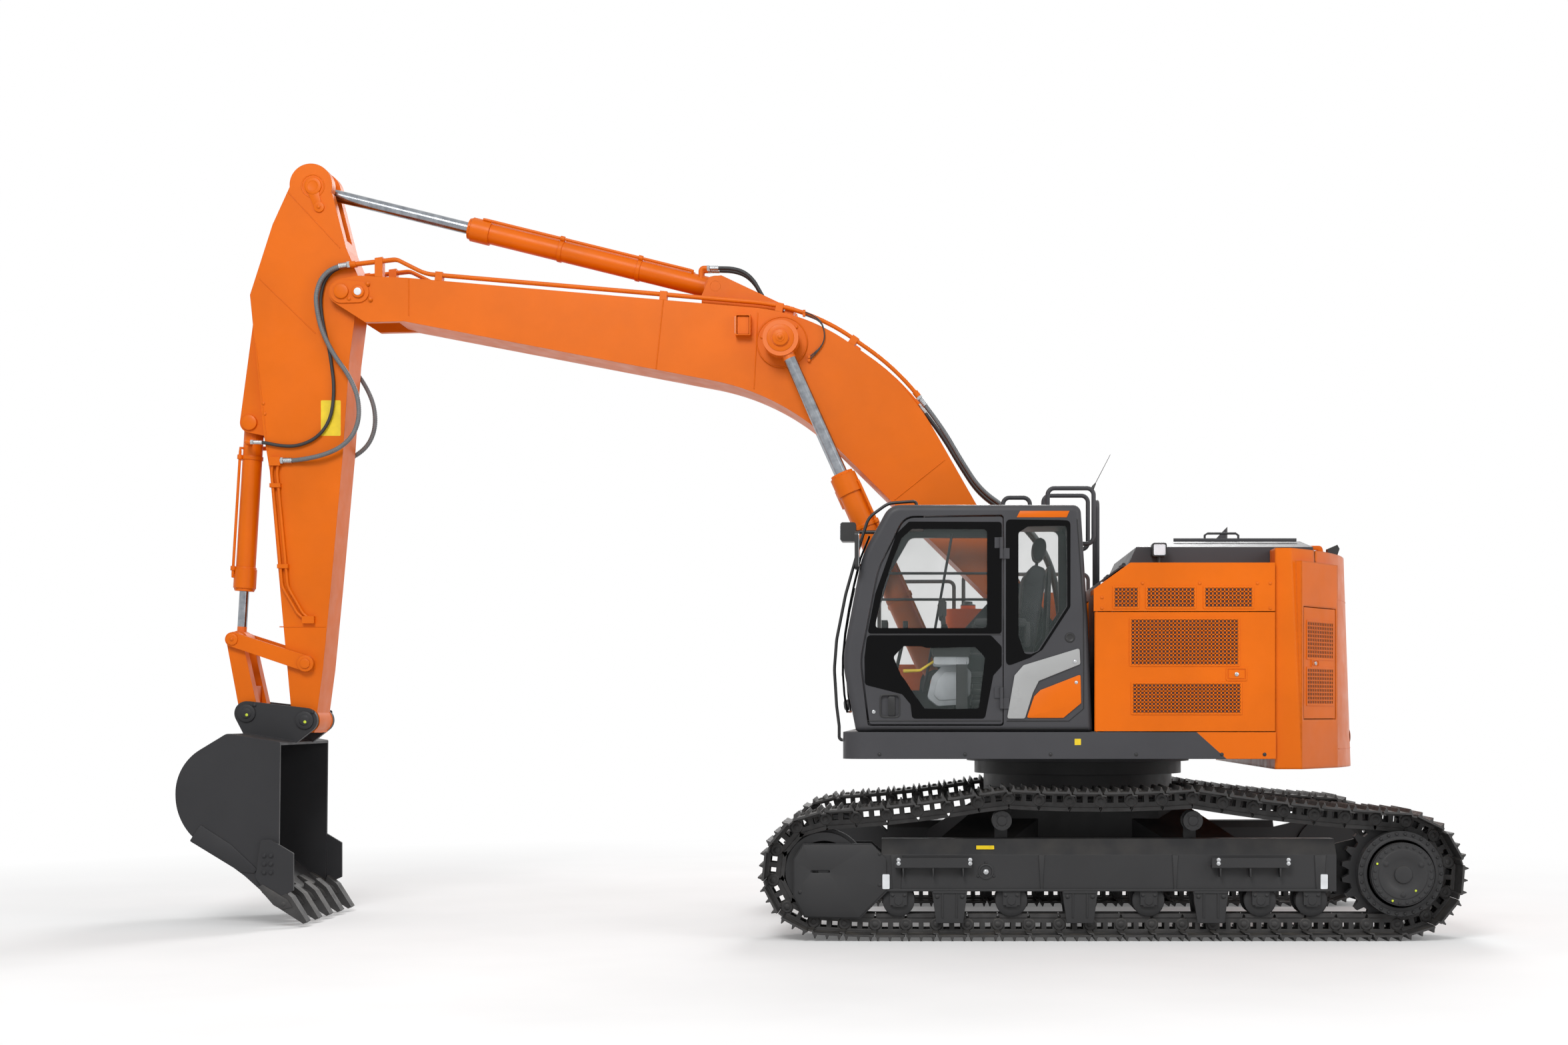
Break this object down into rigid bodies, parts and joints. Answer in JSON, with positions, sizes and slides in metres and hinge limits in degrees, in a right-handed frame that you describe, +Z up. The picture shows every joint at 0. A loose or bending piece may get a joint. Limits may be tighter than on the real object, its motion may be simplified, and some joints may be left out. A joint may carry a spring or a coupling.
{
  "type": "crawler excavator",
  "caption": "Tracked excavator with a slewing upper body, a cab on the left, a short round tail, and a boom, arm and bucket moved by hydraulic cylinders.",
  "frame": {"origin": "on the ground under the middle of the bounding box, midway between the tracks; the swing axis stands at X = 2.0699 m", "axes": "+X to the tail, +Y to the machine's right side, +Z up; the boom points to -X"},
  "size_m": [9.3562, 3.19, 5.797],
  "materials": {
    "black_plastic": "textured black plastic",
    "charcoal_paint": "matt charcoal paint",
    "chromed_rod": "hard chrome",
    "glass": "clear tinted glass",
    "grey_paint": "dark grey machine paint",
    "hose_rubber": "ribbed hose cover",
    "lamp_glass": "clear lamp lens in a black housing",
    "orange_paint": "semi-gloss orange machine paint",
    "seat_fabric": "black woven fabric",
    "track_steel": "worn steel with dust"
  },
  "bodies": {
    "undercarriage": {"car_body": "charcoal_paint", "track_frame_left": "charcoal_paint", "track_frame_right": "charcoal_paint", "track_left": "track_steel", "track_right": "track_steel", "idlers": "charcoal_paint", "final_drives": "charcoal_paint", "lower_rollers": "charcoal_paint", "carrier_rollers": "charcoal_paint", "slew_ring_base": "charcoal_paint"},
    "upperstructure": {"slew_ring_top": "grey_paint", "deck": "grey_paint", "boom_bracket": "grey_paint", "counterweight": "orange_paint", "engine_block": "charcoal_paint", "housing_frame": "grey_paint", "upper_left_panel": "orange_paint", "upper_right_panel": "orange_paint", "cab_frame": "grey_paint", "cab_glass": "glass", "operator_seat": "seat_fabric", "tanks": "orange_paint", "toolbox": "orange_paint", "cab_controls": "black_plastic", "control_valve": "charcoal_paint", "handrails": "grey_paint", "lamps": "lamp_glass", "mirrors": "black_plastic", "exhaust_stack": "track_steel", "boom_foot_hoses": "hose_rubber"},
    "cab_door": {"cab_door": "grey_paint", "cab_door_glass": "glass"},
    "left_service_door": {"left_service_door": "orange_paint"},
    "right_service_door": {"right_service_door": "orange_paint"},
    "counterweight_left_door": {"counterweight_left_door": "orange_paint"},
    "engine_hood": {"engine_hood": "grey_paint"},
    "toolbox_lid": {"toolbox_lid": "orange_paint"},
    "boom": {"boom": "orange_paint", "boom_pipes": "orange_paint", "arm_cylinder_hoses": "hose_rubber"},
    "boom_cylinder_barrels": {"boom_cylinder_barrels": "orange_paint"},
    "boom_cylinder_rods": {"boom_cylinder_rods": "chromed_rod"},
    "arm": {"arm": "orange_paint", "arm_pipes": "orange_paint", "tip_hoses": "hose_rubber"},
    "arm_cylinder_barrel": {"arm_cylinder_barrel": "orange_paint"},
    "arm_cylinder_rod": {"arm_cylinder_rod": "chromed_rod"},
    "bucket": {"bucket": "charcoal_paint", "bucket_teeth": "track_steel"},
    "bucket_cylinder_barrel": {"bucket_cylinder_barrel": "orange_paint"},
    "bucket_cylinder_rod": {"bucket_cylinder_rod": "chromed_rod"},
    "side_links": {"side_links": "orange_paint"},
    "bucket_link": {"bucket_link": "orange_paint"}
  },
  "joints": [
    {"name": "swing", "type": "hinge", "parent": "undercarriage", "child": "upperstructure", "pos_m": [2.06985, 0, 1.134], "axis": [0, 0, 1], "continuous": true},
    {"name": "cab_door_hinge", "type": "hinge", "parent": "upperstructure", "child": "cab_door", "pos_m": [1.42585, -1.475, 1.732], "axis": [0, 0, 1], "range_deg": [0, 160]},
    {"name": "left_service_door_hinge", "type": "hinge", "parent": "upperstructure", "child": "left_service_door", "pos_m": [2.09285, -1.48, 1.881], "axis": [0, 0, 1], "range_deg": [-100, 0]},
    {"name": "right_service_door_hinge", "type": "hinge", "parent": "upperstructure", "child": "right_service_door", "pos_m": [2.42085, 1.48, 1.881], "axis": [0, 0, 1], "range_deg": [0, 100]},
    {"name": "counterweight_left_door_hinge", "type": "hinge", "parent": "upperstructure", "child": "counterweight_left_door", "pos_m": [3.84088, -1.0302, 1.9], "axis": [0, 0, 1], "range_deg": [0, 100]},
    {"name": "engine_hood_hinge", "type": "hinge", "parent": "upperstructure", "child": "engine_hood", "pos_m": [2.32385, -0.96, 2.661], "axis": [0, -1, 0], "range_deg": [0, 60]},
    {"name": "toolbox_lid_hinge", "type": "hinge", "parent": "upperstructure", "child": "toolbox_lid", "pos_m": [1.03985, 0.9, 1.976], "axis": [0, 1, 0], "range_deg": [0, 90]},
    {"name": "boom_foot", "type": "hinge", "parent": "upperstructure", "child": "boom", "pos_m": [1.57485, 0, 2.43], "axis": [0, 1, 0], "range_deg": [-62, 40], "deforming": ["boom_foot_hoses"]},
    {"name": "boom_cylinder_base", "type": "hinge", "parent": "upperstructure", "child": "boom_cylinder_barrels", "pos_m": [0.97385, -0.385, 1.816], "axis": [0, 1, 0], "range_deg": [-59.9, 39]},
    {"name": "boom_cylinder_stroke", "type": "slide", "parent": "boom_cylinder_barrels", "child": "boom_cylinder_rods", "axis": [-0.4106, 0, 0.9118], "range_m": [-0.79, 0.51]},
    {"name": "arm_pivot", "type": "hinge", "parent": "boom", "child": "arm", "pos_m": [-3.55015, 0, 4.8], "axis": [0, -1, 0], "range_deg": [-75, 40], "deforming": ["tip_hoses"]},
    {"name": "arm_cylinder_base", "type": "hinge", "parent": "boom", "child": "arm_cylinder_barrel", "pos_m": [-0.71615, 0, 4.866], "axis": [0, -1, 0], "range_deg": [-4.75, 3], "deforming": ["arm_cylinder_hoses"]},
    {"name": "arm_cylinder_stroke", "type": "slide", "parent": "arm_cylinder_barrel", "child": "arm_cylinder_rod", "axis": [-0.9709, 0, 0.2393], "range_m": [-0.87, 0.47]},
    {"name": "bucket_pivot", "type": "hinge", "parent": "arm", "child": "bucket", "pos_m": [-3.83515, 0, 1.535], "axis": [0, -1, 0], "range_deg": [-10, 130]},
    {"name": "bucket_cylinder_base", "type": "hinge", "parent": "arm", "child": "bucket_cylinder_barrel", "pos_m": [-4.29215, 0, 3.82], "axis": [0, -1, 0], "range_deg": [-1.52, 7.7]},
    {"name": "bucket_cylinder_stroke", "type": "slide", "parent": "bucket_cylinder_barrel", "child": "bucket_cylinder_rod", "axis": [-0.0611, 0, -0.9981], "range_m": [-0.08, 0.81]},
    {"name": "side_link_pivot", "type": "hinge", "parent": "arm", "child": "side_links", "pos_m": [-3.83415, -0.2, 1.968], "axis": [0, -1, 0], "range_deg": [-7.73, 88.38]},
    {"name": "bucket_link_pivot", "type": "hinge", "parent": "bucket", "child": "bucket_link", "pos_m": [-4.27815, 0, 1.588], "axis": [0, -1, 0], "range_deg": [-87.1, 7.63]}
  ],
  "couplings": [
    {"joint": "boom_cylinder_base", "follows": "boom_foot", "ratio": 0.95},
    {"joint": "boom_cylinder_stroke", "follows": "boom_foot", "m_per_rad": 0.71518},
    {"joint": "arm_cylinder_base", "follows": "arm_pivot", "ratio": 0.05},
    {"joint": "arm_cylinder_stroke", "follows": "arm_pivot", "m_per_rad": 0.65511},
    {"joint": "bucket_cylinder_base", "follows": "bucket_pivot", "ratio": 0.05147},
    {"joint": "bucket_cylinder_stroke", "follows": "bucket_pivot", "m_per_rad": 0.35211},
    {"joint": "side_link_pivot", "follows": "bucket_pivot", "ratio": 0.6721},
    {"joint": "bucket_link_pivot", "follows": "bucket_pivot", "ratio": -0.6623}
  ]
}
